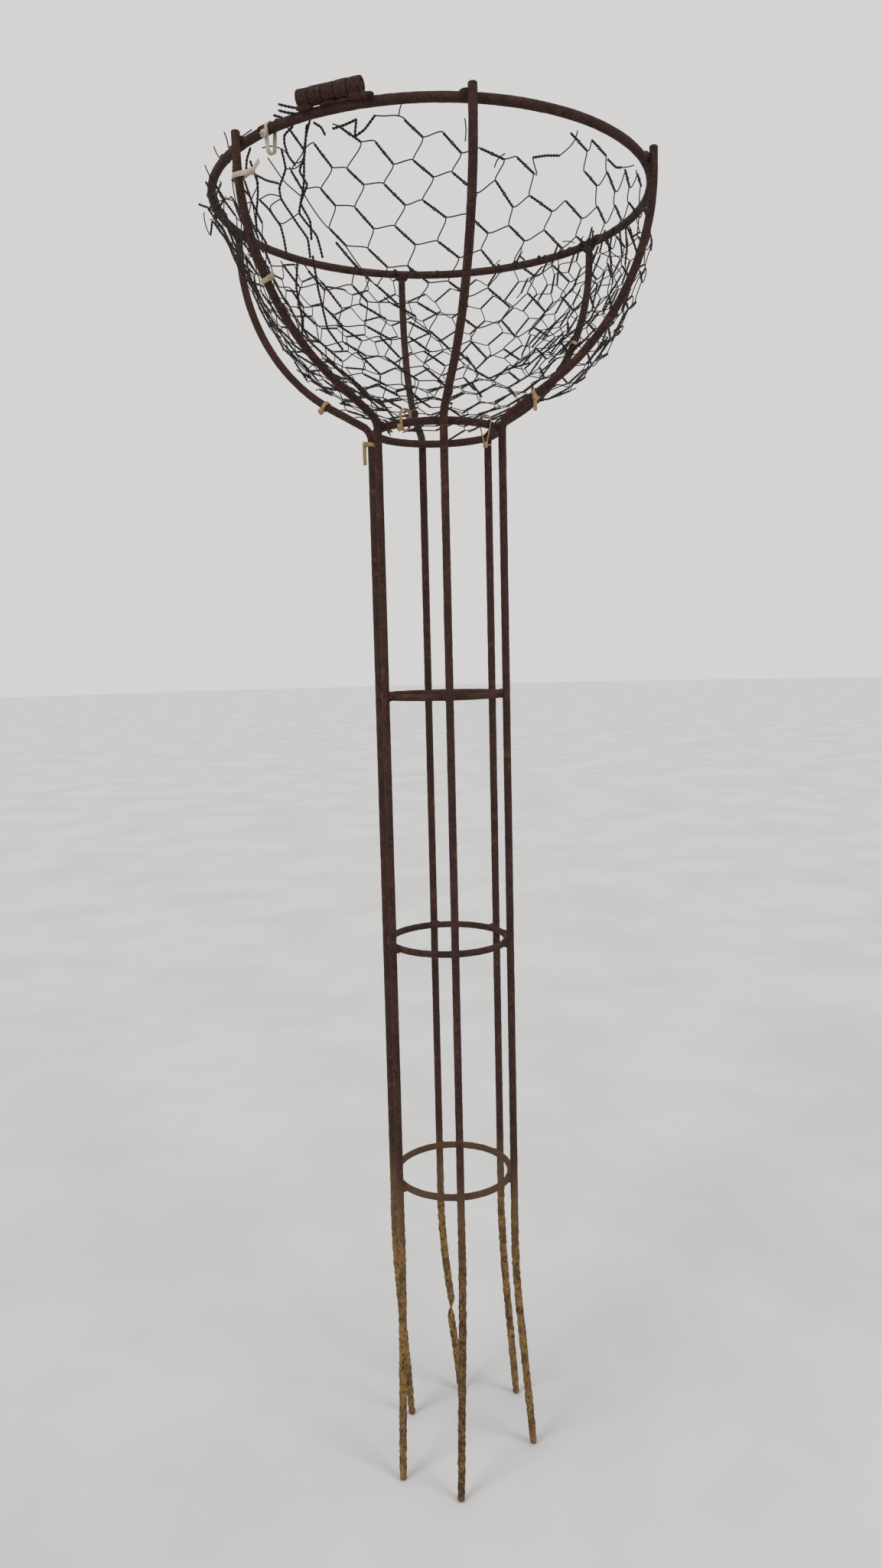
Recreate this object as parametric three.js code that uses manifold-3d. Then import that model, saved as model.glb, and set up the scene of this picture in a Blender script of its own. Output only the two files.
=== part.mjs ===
// A fruit picker basket: six welded steel rods carry a bowl lined with hexagonal wire netting
// on a tall, narrow cage shaft. Millimetres, +Z up. The origin is on the floor, on the shaft's axis,
// and azimuth 0 is the front (-Y), turning towards +X.
import * as THREE from "three";
import { mergeVertices } from "three/addons/utils/BufferGeometryUtils.js";
import Module from "manifold-3d";

// Heights of the five hoops' centre lines
const RIM_Z = 1539;
const COLLAR_Z = 1282.4;
const HOOP_PITCH = 303.2;
const LOWER_HOOP_Z = 368;

// Bars and circles
const ROD_R = 4.5;
const RIM_BAR_R = 4.75;
const COLLAR_BAR_R = 4.4;
const HOOP_BAR_R = 4;
const WELD_GAP = 0.3;
const RIM_R = 248;
const SHAFT_R = 81.3;
const HOOP_R = SHAFT_R - ROD_R - HOOP_BAR_R - WELD_GAP;
const COLLAR_R = SHAFT_R - ROD_R - COLLAR_BAR_R - WELD_GAP;
const RIM_OUTSIDE_R = RIM_R + RIM_BAR_R + WELD_GAP + ROD_R;
const RIM_UNDERSIDE_Z = RIM_Z - RIM_BAR_R - WELD_GAP;

// The bowl: a cone that rises at CONE_RISE from the shaft, bent up to vertical below the rim
const CONE_RISE = THREE.MathUtils.degToRad(30);
const SHOULDER_Z = 1290;
const SHOULDER_BEND_R = 22;
const BOWL_BEND_R = 236;
const KNEE_BEND_R = 900;
const KNEE_Z = 250;

// The rods: where each meets the rim, its azimuth down the shaft, and where its foot stands.
// Outside rods stop above the rim at top; the others are cut off under it.
const RODS = [
  { name: "rod_front", rim: 9, shaft: 5.5, foot: [0, -115], top: 1549 },
  { name: "rod_front_right", rim: 66.5, shaft: 68, foot: [96, -18], top: 1553 },
  { name: "rod_back_right", rim: 126, shaft: 130, foot: [80, 81] },
  { name: "rod_back", rim: 190, shaft: 193, foot: [3, 90] },
  { name: "rod_back_left", rim: 252, shaft: 254.5, foot: [-64, 43] },
  { name: "rod_front_left", rim: 311, shaft: 304.5, foot: [-72, -78], top: 1549 },
];
const ROD_SIDES = 8;
const ROD_BEND_STEPS = [10, 4, 3];
const RIM_SIDES = 10;
const RIM_STEPS = 48;
const HOOP_SIDES = 8;
const HOOP_STEPS = 28;
const FOOT_TIP_R = 4;
const FOOT_TAPER = 60;

// The netting, an open lattice of hexagons twice the size of the real mesh, inside the rods
const NET_INSET = 10;
const NET_THICKNESS = 1.5;
const NET_TOP_Z = 1527;
const NET_COLUMNS = 18;
const NET_WINDOW_SHARE = 0.93;
const NET_THROAT_R = 63.5;
const NET_THROAT_BEND_R = 12;
const NET_BOTTOM_Z = 1268;
const NET_BEND_STEPS = [40, 6];
const NET_SUBSTEPS = 10;

// The hinge barrel of the missing lid, welded along the rim's upper outside
const BARREL_AZIMUTH = 338.3;
const BARREL_TILT = THREE.MathUtils.degToRad(20);
const BARREL_FROM_RIM = 13.5;
const KNUCKLE_LENGTH = 13;
const KNUCKLE_GAP = 0.5;
const KNUCKLE_NAMES = ["fixed_left", "loose_left", "fixed_middle", "loose_right", "fixed_right"];
const FIXED_KNUCKLE_R = 7.5;
const LOOSE_KNUCKLE_R = 8.1;
const KNUCKLE_BORE_R = 4.5;
const PIN_R = 4;
const BARREL_SIDES = 24;

// Cable ties: a strap round a bar, a head, and a free tail
const TIE_WIDTH = 4.8;
const TIE_THICKNESS = 1.2;
const TIE_CLEARANCE = 0.6;
const TIE_HEAD = { length: 4.2, width: 5.4, height: 6.4 };
const TIE_HEAD_GAP = 0.4;
const TIE_TAIL_WIDTH = 4.4;
const TIE_TAIL_ROOT = 1;
const TIE_SIDES = 14;
// On a rod: the height, how far the head is turned round the rod from facing outwards (towards
// greater azimuths), and whether the tail hangs down instead of standing off the rod
const ROD_TIES = [
  { name: "tie_front_left_upper", rod: "rod_front_left", z: 1508, turn: 90, tail: 14 },
  { name: "tie_front_left_lower", rod: "rod_front_left", z: 1412, turn: 80, tail: 8 },
  { name: "tie_back_left_low", rod: "rod_back_left", z: 1324, turn: 20, tail: 4 },
  { name: "tie_front_right_low", rod: "rod_front_right", z: 1314, turn: -50, tail: 10, hangs: true },
  { name: "tie_back_right_low", rod: "rod_back_right", z: 1411, turn: 85, tail: 8 },
  { name: "tie_back_collar", rod: "rod_back", z: 1336, turn: 60, tail: 5 },
  { name: "tie_back_left_collar", rod: "rod_back_left", z: 1273, turn: 10, tail: 18, hangs: true },
];
// On a hoop, with the head hanging straight down
const RIM = { radius: RIM_R, bar: RIM_BAR_R, z: RIM_Z };
const COLLAR = { radius: COLLAR_R, bar: COLLAR_BAR_R, z: COLLAR_Z };
const HOOP_TIES = [
  { name: "tie_rim_slack", hoop: RIM, azimuth: 320, loop: 7.5, tail: 6 },
  { name: "tie_front_left_collar", hoop: COLLAR, azimuth: 331, loop: 6.2, tail: 4 },
  { name: "tie_front_right_collar", hoop: COLLAR, azimuth: 50, loop: 6.2, tail: 8 },
];

const RUST = new THREE.MeshStandardMaterial({ color: 0x3b2620, roughness: 0.9, metalness: 0.35 });
const CLAY_RUST = new THREE.MeshStandardMaterial({ color: 0x6a5234, roughness: 0.95, metalness: 0.1 });
const WIRE = new THREE.MeshStandardMaterial({ color: 0x2a2421, roughness: 0.8, metalness: 0.4 });
const NYLON = new THREE.MeshStandardMaterial({ color: 0xcdb58a, roughness: 0.5, metalness: 0 });

const wasm = await Module();
wasm.setup();
const part = new THREE.Group();

const radians = THREE.MathUtils.degToRad;

function outward(azimuth) {
  return new THREE.Vector3(Math.sin(radians(azimuth)), -Math.cos(radians(azimuth)), 0);
}

function polar(radius, azimuth, z) {
  return outward(azimuth).multiplyScalar(radius).setZ(z);
}

function add(name, geometry, material) {
  const mesh = new THREE.Mesh(geometry, material);
  mesh.name = name;
  part.add(mesh);
  return mesh;
}

function regularOutline(radius, sides) {
  const points = [];
  for (let i = 0; i < sides; i++) {
    const angle = ((i + 0.5) / sides) * 2 * Math.PI;
    points.push(new THREE.Vector2(radius * Math.cos(angle), radius * Math.sin(angle)));
  }
  return new THREE.Shape(points);
}

// A path through given points, with one sweep step from each point to the next
class KnotPath extends THREE.Curve {
  constructor(knots) {
    super();
    this.knots = knots;
  }

  getPoint(t, target = new THREE.Vector3()) {
    const at = t * (this.knots.length - 1);
    const i = Math.min(Math.floor(at), this.knots.length - 2);
    return target.lerpVectors(this.knots[i], this.knots[i + 1], at - i);
  }

  getUtoTmapping(u) {
    return u;
  }
}

// The corners of a bent bar, with each inner corner rounded to its radius in a number of steps
function bentThrough(corners, radii, steps) {
  const knots = [corners[0]];
  for (let i = 1; i < corners.length - 1; i++) {
    const before = corners[i - 1].clone().sub(corners[i]).normalize();
    const after = corners[i + 1].clone().sub(corners[i]).normalize();
    const half = before.angleTo(after) / 2;
    const middle = before.clone().add(after).normalize();
    const centre = corners[i].clone().addScaledVector(middle, radii[i - 1] / Math.sin(half));
    const from = corners[i].clone().addScaledVector(before, radii[i - 1] / Math.tan(half));
    const to = corners[i].clone().addScaledVector(after, radii[i - 1] / Math.tan(half));
    const arm = from.clone().sub(centre);
    const axis = arm.clone().cross(to.clone().sub(centre)).normalize();
    const sweep = Math.PI - 2 * half;
    for (let k = 0; k <= steps[i - 1]; k++) {
      const turned = arm.clone().applyAxisAngle(axis, (sweep * k) / steps[i - 1]);
      knots.push(centre.clone().add(turned));
    }
  }
  knots.push(corners[corners.length - 1]);
  return knots;
}

// Where the vertical at radius r meets the cone that rises from the shaft's circle
function coneHeight(radius) {
  return SHOULDER_Z + (radius - SHAFT_R) * Math.tan(CONE_RISE);
}

// One rod's centre line, from its top down to its foot
function rodKnots(rod) {
  const rimRadius = rod.top ? RIM_OUTSIDE_R : RIM_R;
  const corners = [
    polar(rimRadius, rod.rim, rod.top ?? RIM_UNDERSIDE_Z),
    polar(rimRadius, rod.rim, coneHeight(rimRadius)),
    polar(SHAFT_R, rod.shaft, SHOULDER_Z),
    polar(SHAFT_R, rod.shaft, KNEE_Z),
    new THREE.Vector3(rod.foot[0], rod.foot[1], 0),
  ];
  return bentThrough(corners, [BOWL_BEND_R, SHOULDER_BEND_R, KNEE_BEND_R], ROD_BEND_STEPS);
}

// A round bar along its centre line
function barGeometry(knots, radius, sides) {
  const path = new KnotPath(knots);
  return new THREE.ExtrudeGeometry(regularOutline(radius, sides), {
    steps: knots.length - 1,
    extrudePath: path,
    curveSegments: 1,
  });
}

// Narrows a rod towards its foot and cuts the foot level with the floor
function pointFoot(geometry, foot, kneePoint) {
  const position = geometry.getAttribute("position");
  const p = new THREE.Vector3();
  const lean = kneePoint.clone().sub(foot).divideScalar(kneePoint.z);
  for (let i = 0; i < position.count; i++) {
    p.fromBufferAttribute(position, i);
    if (p.z > FOOT_TAPER / 2) continue;
    p.sub(foot).multiplyScalar(FOOT_TIP_R / ROD_R);
    p.addScaledVector(lean, -p.z);
    p.z = 0;
    p.add(foot);
    position.setXYZ(i, p.x, p.y, p.z);
  }
  return geometry;
}

const rodPaths = {};
for (const rod of RODS) {
  const knots = rodKnots(rod);
  const foot = knots[knots.length - 1];
  const knee = knots[knots.length - 2];
  knots.splice(knots.length - 1, 0, foot.clone().lerp(knee, FOOT_TAPER / knee.z));
  rodPaths[rod.name] = knots;
  add(rod.name, pointFoot(barGeometry(knots, ROD_R, ROD_SIDES), foot, knee), CLAY_RUST);
}

// The five hoops
function addHoop(name, radius, barRadius, z, barSides, steps) {
  const hoop = add(name, new THREE.TorusGeometry(radius, barRadius, barSides, steps), RUST);
  hoop.position.z = z;
}
addHoop("rim_hoop", RIM_R, RIM_BAR_R, RIM_Z, RIM_SIDES, RIM_STEPS);
addHoop("collar_hoop", COLLAR_R, COLLAR_BAR_R, COLLAR_Z, HOOP_SIDES, HOOP_STEPS);
["lower", "middle", "upper"].forEach((place, i) => {
  const z = LOWER_HOOP_Z + i * HOOP_PITCH;
  addHoop(`shaft_hoop_${place}`, HOOP_R, HOOP_BAR_R, z, HOOP_SIDES, HOOP_STEPS);
});

// The netting's section from top to bottom, as radius and height, with the steps between kept short
function netSection() {
  const wall = RIM_R - NET_INSET;
  const lift = NET_INSET / Math.cos(CONE_RISE);
  const corners = [
    new THREE.Vector3(wall, 0, RIM_Z),
    new THREE.Vector3(wall, 0, coneHeight(wall) + lift),
    new THREE.Vector3(NET_THROAT_R, 0, coneHeight(NET_THROAT_R) + lift),
    new THREE.Vector3(NET_THROAT_R, 0, NET_BOTTOM_Z),
  ];
  const coarse = bentThrough(corners, [BOWL_BEND_R - NET_INSET, NET_THROAT_BEND_R], NET_BEND_STEPS);
  const fine = [];
  for (let i = 0; i < coarse.length - 1; i++) {
    for (let k = 0; k < NET_SUBSTEPS; k++) {
      fine.push(coarse[i].clone().lerp(coarse[i + 1], k / NET_SUBSTEPS));
    }
  }
  fine.push(coarse[coarse.length - 1]);
  return fine.filter((p) => p.z <= NET_TOP_Z);
}

// A lattice of hexagonal windows round the bowl. Depth runs down the section in steps that shrink
// with the radius, so that every window keeps its shape.
function netGeometry() {
  const section = netSection();
  const depths = [0];
  for (let i = 1; i < section.length; i++) {
    const radius = (section[i].x + section[i - 1].x) / 2;
    depths.push(depths[i - 1] + section[i].distanceTo(section[i - 1]) / radius);
  }
  const total = depths[depths.length - 1];
  const pitch = (2 * Math.PI) / NET_COLUMNS;
  const corner = pitch / Math.sqrt(3);
  const rows = Math.round((total - corner / 2) / (1.5 * corner));
  const stretch = total / (rows * 1.5 * corner + corner / 2);

  function onBowl(around, depth, side) {
    const d = Math.min(Math.max(depth * stretch, 0), total);
    let i = 1;
    while (i < depths.length - 1 && depths[i] < d) i++;
    const share = (d - depths[i - 1]) / (depths[i] - depths[i - 1]);
    const p = section[i - 1].clone().lerp(section[i], share);
    const along = section[i].clone().sub(section[i - 1]).normalize();
    const r = p.x - (along.z * side * NET_THICKNESS) / 2;
    const z = p.z + (along.x * side * NET_THICKNESS) / 2;
    return [r * Math.sin(around), -r * Math.cos(around), z];
  }

  const positions = [];
  const index = [];
  const known = new Map();
  function vertex(key, around, depth) {
    if (!known.has(key)) {
      known.set(key, positions.length / 3);
      positions.push(...onBowl(around, depth, 1), ...onBowl(around, depth, -1));
    }
    return known.get(key);
  }
  // A flat face on both sides of the lattice
  function face(...ids) {
    for (let k = 1; k < ids.length - 1; k++) {
      index.push(ids[0], ids[k + 1], ids[k]);
      index.push(ids[0] + 1, ids[k] + 1, ids[k + 1] + 1);
    }
  }
  // The wall through the thickness, along an open edge
  function wall(a, b) {
    index.push(a, b + 1, a + 1, a, b, b + 1);
  }

  const CORNERS = [
    [0, -1],
    [0.5, -0.5],
    [0.5, 0.5],
    [0, 1],
    [-0.5, 0.5],
    [-0.5, -0.5],
  ];
  const wrap = (i) => ((i % NET_COLUMNS) + NET_COLUMNS) % NET_COLUMNS;
  const centreOf = (i, j) => [(i + (j % 2) / 2) * pitch, corner + j * 1.5 * corner];
  // Corner k of window (i, j), drawn in from the lattice's own corner
  function windowCorner(i, j, k) {
    const [around, depth] = centreOf(i, j);
    const [u, v] = CORNERS[k];
    const a = around + u * pitch * NET_WINDOW_SHARE;
    const d = depth + v * corner * NET_WINDOW_SHARE;
    return vertex(`w${wrap(i)},${j},${k}`, a, d);
  }
  // A corner of the zigzag edge at the top (row 0) or bottom (last row)
  function edgeCorner(i, j, k) {
    const [around, depth] = centreOf(i, j);
    const [u, v] = CORNERS[k];
    const half = Math.round(2 * (i + (j % 2) / 2 + u));
    const key = ((half % (2 * NET_COLUMNS)) + 2 * NET_COLUMNS) % (2 * NET_COLUMNS);
    return vertex(`e${j === 0 ? "t" : "b"}${key}`, around + u * pitch, depth + v * corner);
  }

  for (let j = 0; j < rows; j++) {
    for (let i = 0; i < NET_COLUMNS; i++) {
      const w = (k) => windowCorner(i, j, k);
      for (let k = 0; k < 6; k++) wall(w((k + 1) % 6), w(k));
      const right = (k) => windowCorner(i + 1, j, k);
      face(w(1), right(5), right(4), w(2));
      const last = j === rows - 1;
      if (!last) {
        const shift = j % 2;
        const lowerLeft = (k) => windowCorner(i - 1 + shift, j + 1, k);
        const lowerRight = (k) => windowCorner(i + shift, j + 1, k);
        face(w(3), w(2), lowerRight(0), lowerRight(5));
        face(w(4), w(3), lowerLeft(1), lowerLeft(0));
        face(w(3), lowerRight(5), lowerLeft(1));
        face(w(2), right(4), lowerRight(0));
      }
      if (j === 0) {
        const e = (k) => edgeCorner(i, j, k);
        face(w(5), e(5), e(0), w(0));
        face(w(0), e(0), e(1), w(1));
        face(w(1), e(1), right(5));
        wall(e(5), e(0));
        wall(e(0), e(1));
      }
      if (last) {
        const e = (k) => edgeCorner(i, j, k);
        face(w(2), e(2), e(3), w(3));
        face(w(3), e(3), e(4), w(4));
        face(w(2), right(4), e(2));
        wall(e(2), e(3));
        wall(e(3), e(4));
      }
    }
  }
  const geometry = new THREE.BufferGeometry();
  geometry.setAttribute("position", new THREE.Float32BufferAttribute(positions, 3));
  geometry.setIndex(index);
  geometry.computeVertexNormals();
  return geometry;
}
add("wire_netting", netGeometry(), WIRE);

// The hinge barrel lies in its own group, with its axis along the group's X
const barrel = new THREE.Group();
const barrelOut = outward(BARREL_AZIMUTH);
barrel.position.copy(polar(RIM_R, BARREL_AZIMUTH, RIM_Z));
barrel.position.addScaledVector(barrelOut, BARREL_FROM_RIM * Math.sin(BARREL_TILT));
barrel.position.z += BARREL_FROM_RIM * Math.cos(BARREL_TILT);
barrel.rotation.z = radians(BARREL_AZIMUTH);
part.add(barrel);

function addBarrelPiece(name, geometry, x) {
  const mesh = add(name, geometry, RUST);
  geometry.rotateZ(-Math.PI / 2);
  mesh.position.x = x;
  barrel.add(mesh);
}

KNUCKLE_NAMES.forEach((name, i) => {
  const outer = name.startsWith("loose") ? LOOSE_KNUCKLE_R : FIXED_KNUCKLE_R;
  const half = KNUCKLE_LENGTH / 2;
  const profile = [
    new THREE.Vector2(KNUCKLE_BORE_R, -half),
    new THREE.Vector2(outer, -half),
    new THREE.Vector2(outer, half),
    new THREE.Vector2(KNUCKLE_BORE_R, half),
    new THREE.Vector2(KNUCKLE_BORE_R, -half),
  ];
  const place = (i - (KNUCKLE_NAMES.length - 1) / 2) * (KNUCKLE_LENGTH + KNUCKLE_GAP);
  addBarrelPiece(`knuckle_${name}`, new THREE.LatheGeometry(profile, BARREL_SIDES), place);
});
const pinLength = KNUCKLE_NAMES.length * (KNUCKLE_LENGTH + KNUCKLE_GAP) - KNUCKLE_GAP;
addBarrelPiece("hinge_pin", new THREE.CylinderGeometry(PIN_R, PIN_R, pinLength, BARREL_SIDES), 0);

// A three.js geometry as a manifold-3d solid, and back
function solidOf(geometry) {
  const bare = geometry.clone();
  bare.deleteAttribute("normal");
  bare.deleteAttribute("uv");
  const merged = mergeVertices(bare, 1e-3);
  return new wasm.Manifold(
    new wasm.Mesh({
      numProp: 3,
      vertProperties: merged.attributes.position.array,
      triVerts: new Uint32Array(merged.index.array),
    }),
  );
}

function geometryOf(solid) {
  const made = solid.getMesh();
  const geometry = new THREE.BufferGeometry();
  geometry.setAttribute("position", new THREE.BufferAttribute(made.vertProperties, 3));
  geometry.setIndex(new THREE.BufferAttribute(made.triVerts, 1));
  geometry.computeVertexNormals();
  return geometry;
}

// A tie round a bar along Y: the strap's loop, a head on +X, and a tail that leaves the head along
// X, or hangs from it along -Y
function tieGeometry(loopRadius, tail, hangs) {
  const outer = loopRadius + TIE_THICKNESS;
  const half = TIE_WIDTH / 2;
  const profile = [
    new THREE.Vector2(loopRadius, -half),
    new THREE.Vector2(outer, -half),
    new THREE.Vector2(outer, half),
    new THREE.Vector2(loopRadius, half),
    new THREE.Vector2(loopRadius, -half),
  ];
  const strap = solidOf(new THREE.LatheGeometry(profile, TIE_SIDES));
  const { length, width, height } = TIE_HEAD;
  const headX = loopRadius + length / 2 + TIE_HEAD_GAP;
  const head = solidOf(new THREE.BoxGeometry(length, width, height).translate(headX, 0, 0));
  const tailLength = tail + 2 * TIE_TAIL_ROOT;
  const tailBox = hangs
    ? new THREE.BoxGeometry(TIE_THICKNESS, tailLength, TIE_TAIL_WIDTH)
    : new THREE.BoxGeometry(tailLength, TIE_TAIL_WIDTH, TIE_THICKNESS);
  if (hangs) tailBox.translate(headX, TIE_TAIL_ROOT - (width + tailLength) / 2, 0);
  else tailBox.translate(headX + (length + tailLength) / 2 - TIE_TAIL_ROOT, 0, 0);
  return geometryOf(strap.add(head).add(solidOf(tailBox)));
}

// Places a tie at a point of a bar, with its own Y along the bar and its head facing a given way
function placeTie(mesh, point, along, facing) {
  const y = along.clone().normalize();
  const x = facing.clone().addScaledVector(y, -facing.dot(y)).normalize();
  const z = x.clone().cross(y);
  mesh.quaternion.setFromRotationMatrix(new THREE.Matrix4().makeBasis(x, y, z));
  mesh.position.copy(point);
}

for (const tie of ROD_TIES) {
  const knots = rodPaths[tie.rod];
  const below = knots.findIndex((p) => p.z < tie.z);
  const [high, low] = [knots[below - 1], knots[below]];
  const point = high.clone().lerp(low, (high.z - tie.z) / (high.z - low.z));
  const along = high.clone().sub(low).normalize();
  const facing = point.clone().setZ(0).normalize();
  facing.addScaledVector(along, -facing.dot(along)).applyAxisAngle(along, radians(tie.turn));
  const mesh = add(tie.name, tieGeometry(ROD_R + TIE_CLEARANCE, tie.tail, tie.hangs), NYLON);
  placeTie(mesh, point, along, facing);
}

// A tie on a hoop hangs from the top of its bar
const DOWN = new THREE.Vector3(0, 0, -1);
for (const tie of HOOP_TIES) {
  const { radius, bar, z } = tie.hoop;
  const point = polar(radius, tie.azimuth, z - (tie.loop - bar - TIE_CLEARANCE));
  const mesh = add(tie.name, tieGeometry(tie.loop, tie.tail, false), NYLON);
  placeTie(mesh, point, outward(tie.azimuth + 90), DOWN);
}

export default part;
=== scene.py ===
"""A rusty fruit picker basket: a welded rod stand with a bowl of torn hexagonal wire netting.

Metres, +Z up, the origin on the floor on the shaft's axis. Azimuths are in degrees, 0 at the front (-Y),
turning towards +X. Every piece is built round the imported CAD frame.
"""
import math
import random

import bpy
import numpy as np
from mathutils import Matrix, Vector, noise


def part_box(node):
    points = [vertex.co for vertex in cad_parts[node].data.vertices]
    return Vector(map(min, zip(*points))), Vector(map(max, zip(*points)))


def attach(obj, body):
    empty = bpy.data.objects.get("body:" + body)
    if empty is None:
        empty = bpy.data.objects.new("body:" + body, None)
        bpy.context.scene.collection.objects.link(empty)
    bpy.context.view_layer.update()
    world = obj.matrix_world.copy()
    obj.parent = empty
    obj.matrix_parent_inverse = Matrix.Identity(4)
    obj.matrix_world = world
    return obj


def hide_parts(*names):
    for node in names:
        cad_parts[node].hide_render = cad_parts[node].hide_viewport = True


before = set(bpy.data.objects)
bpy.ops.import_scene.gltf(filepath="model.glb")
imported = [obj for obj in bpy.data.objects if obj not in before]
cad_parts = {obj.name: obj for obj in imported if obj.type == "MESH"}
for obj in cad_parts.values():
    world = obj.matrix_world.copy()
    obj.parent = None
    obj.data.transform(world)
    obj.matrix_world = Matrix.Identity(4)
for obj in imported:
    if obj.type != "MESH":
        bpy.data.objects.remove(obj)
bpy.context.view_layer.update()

MM = 0.001
UP = np.array((0.0, 0.0, 1.0))
DOWN = np.array((0.0, 0.0, -1.0))
BEND_STEPS = 24

# The rods' shape, which the frame's rods share
ROD_R = 4.5 * MM
SHAFT_R = 81.3 * MM
RIM_R = 248.0 * MM
RIM_BAR_R = 4.75 * MM
WELD_GAP = 0.3 * MM
RIM_OUTSIDE_R = RIM_R + RIM_BAR_R + WELD_GAP + ROD_R
CONE_RISE = math.radians(30)
SHOULDER_Z = 1290 * MM
SHOULDER_BEND_R = 22 * MM
BOWL_BEND_R = 236 * MM
KNEE_BEND_R = 900 * MM
KNEE_Z = 250 * MM

# Each rod: azimuth at the rim and down the shaft, foot, and the top of those that pass the rim
RODS = {
    "rod_front": (9, 5.5, (0, -115 * MM), 1549 * MM),
    "rod_front_right": (66.5, 68, (96 * MM, -18 * MM), 1553 * MM),
    "rod_back_right": (126, 130, (80 * MM, 81 * MM), None),
    "rod_back": (190, 193, (3 * MM, 90 * MM), None),
    "rod_back_left": (252, 254.5, (-64 * MM, 43 * MM), None),
    "rod_front_left": (311, 304.5, (-72 * MM, -78 * MM), 1549 * MM),
}
FOOT_TIP_R = 4.0 * MM
FOOT_TAPER = 60 * MM
END_ROUNDING = 1.8 * MM
# The rings along a rod: they are closer together on its rough leg and at its ends
ROUGH_LEG = 0.42
RING_GAP = 3.0 * MM
ROUGH_RING_GAP = 1.9 * MM
LAST_RING_GAP = 1.2 * MM
END_RINGS = (0.4, 0.9, 1.6)
# The back rod's rusted neck: its height, its waist and the step aside
NECK_Z = 128 * MM
NECK_WAIST = 0.62
NECK_LENGTH = 9 * MM
NECK_STEP = 1.6 * MM
NECK_STEP_LENGTH = 7 * MM

# Each hoop: radius of its centre line and of its bar
HOOPS = {
    "rim_hoop": (RIM_R, RIM_BAR_R),
    "collar_hoop": (72.1 * MM, 4.4 * MM),
    "shaft_hoop_upper": (72.5 * MM, 4.0 * MM),
    "shaft_hoop_middle": (72.5 * MM, 4.0 * MM),
    "shaft_hoop_lower": (72.5 * MM, 4.0 * MM),
}
HOOP_RING_GAP = 2.6 * MM
# Weld beads: half lengths along the hoop, outwards and up, in millimetres
CAGE_BEAD = (7.2, 3.4, 4.4)
OUTSIDE_ROD_BEAD = (7.6, 4.8, 4.6)
UNDER_RIM_BEAD = (8.4, 5.0, 4.6)


def middle_z(node):
    low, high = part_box(node)
    return (low.z + high.z) / 2


RIM_Z = middle_z("rim_hoop")
COLLAR_Z = middle_z("collar_hoop")

# The netting: wire, mesh and the bowl that it lines
WIRE_R = 0.58 * MM
TWIST_WIRE_R = 0.76 * MM
TWIST_R = 0.62 * MM
TWIST_TURNS = 4
TWIST_LENGTH = 24 * MM
NET_WALL_R = 238 * MM
NET_BEND_R = 226 * MM
NET_THROAT_R = 63.5 * MM
NET_BOTTOM_Z = 1240 * MM
NET_DEPTH = 318 * MM
BACK_NET_DEPTH = 322 * MM
# The netting unrolls flat like a cone's skin: the share of a full turn that it covers, and the
# distance from its top edge to the apex
NET_CONE = 0.5
NET_APEX = NET_WALL_R / NET_CONE
SITE_SPAN = 24
# The front sheet's straight edge when flat: a point on it and the direction across it
EDGE_POINT = (-75.2 * MM, -131.2 * MM)
EDGE_ACROSS = (0.724, 0.690)

# The hinge barrel on the rim
BARREL_AZIMUTH = 338.3
BARREL_TILT = math.radians(20)
BARREL_FROM_RIM = 13.5 * MM
KNUCKLE_LENGTH = 13 * MM
KNUCKLES = {
    "knuckle_fixed_left": (-27.0 * MM, 8.0 * MM, "stand"),
    "knuckle_loose_left": (-13.5 * MM, 8.3 * MM, "knuckle_left"),
    "knuckle_fixed_middle": (0.0, 8.0 * MM, "stand"),
    "knuckle_loose_right": (13.5 * MM, 8.3 * MM, "knuckle_right"),
    "knuckle_fixed_right": (27.0 * MM, 8.0 * MM, "stand"),
}
KNUCKLE_BORE_R = 4.5 * MM
PIN_R = 4.0 * MM
PIN_LENGTH = 67 * MM
KNUCKLE_EASE = 1.1 * MM
BEAD_SHIFT = 2.6
# Each weld bead under the barrel, in millimetres: its place along the barrel, its half length,
# thickness and height, and how far it lies below the barrel's axis
BARREL_BEADS = (
    (-27, 9.5, 4.6, 3.2, 8.0),
    (-2, 9.0, 4.6, 2.6, 8.6),
    (13, 8.5, 4.2, 1.7, 9.2),
    (27, 8.5, 5.2, 4.0, 8.0),
    (36, 9.0, 3.8, 3.4, 9.4),
)

# Cable ties
TIE_WIDTH = 4.8 * MM
TIE_THICKNESS = 1.2 * MM
TIE_HEAD = (4.2 * MM, 5.4 * MM, 6.4 * MM)
# A head's outline with eased corners, as shares of its half width and half height
HEAD_OUTLINE = (
    (1, 0.8), (0.8, 1), (-0.8, 1), (-1, 0.8),
    (-1, -0.8), (-0.8, -1), (0.8, -1), (1, -0.8),
)
STRAP_GAP = 1.1 * MM
STRAP_POINTS = 60
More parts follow.
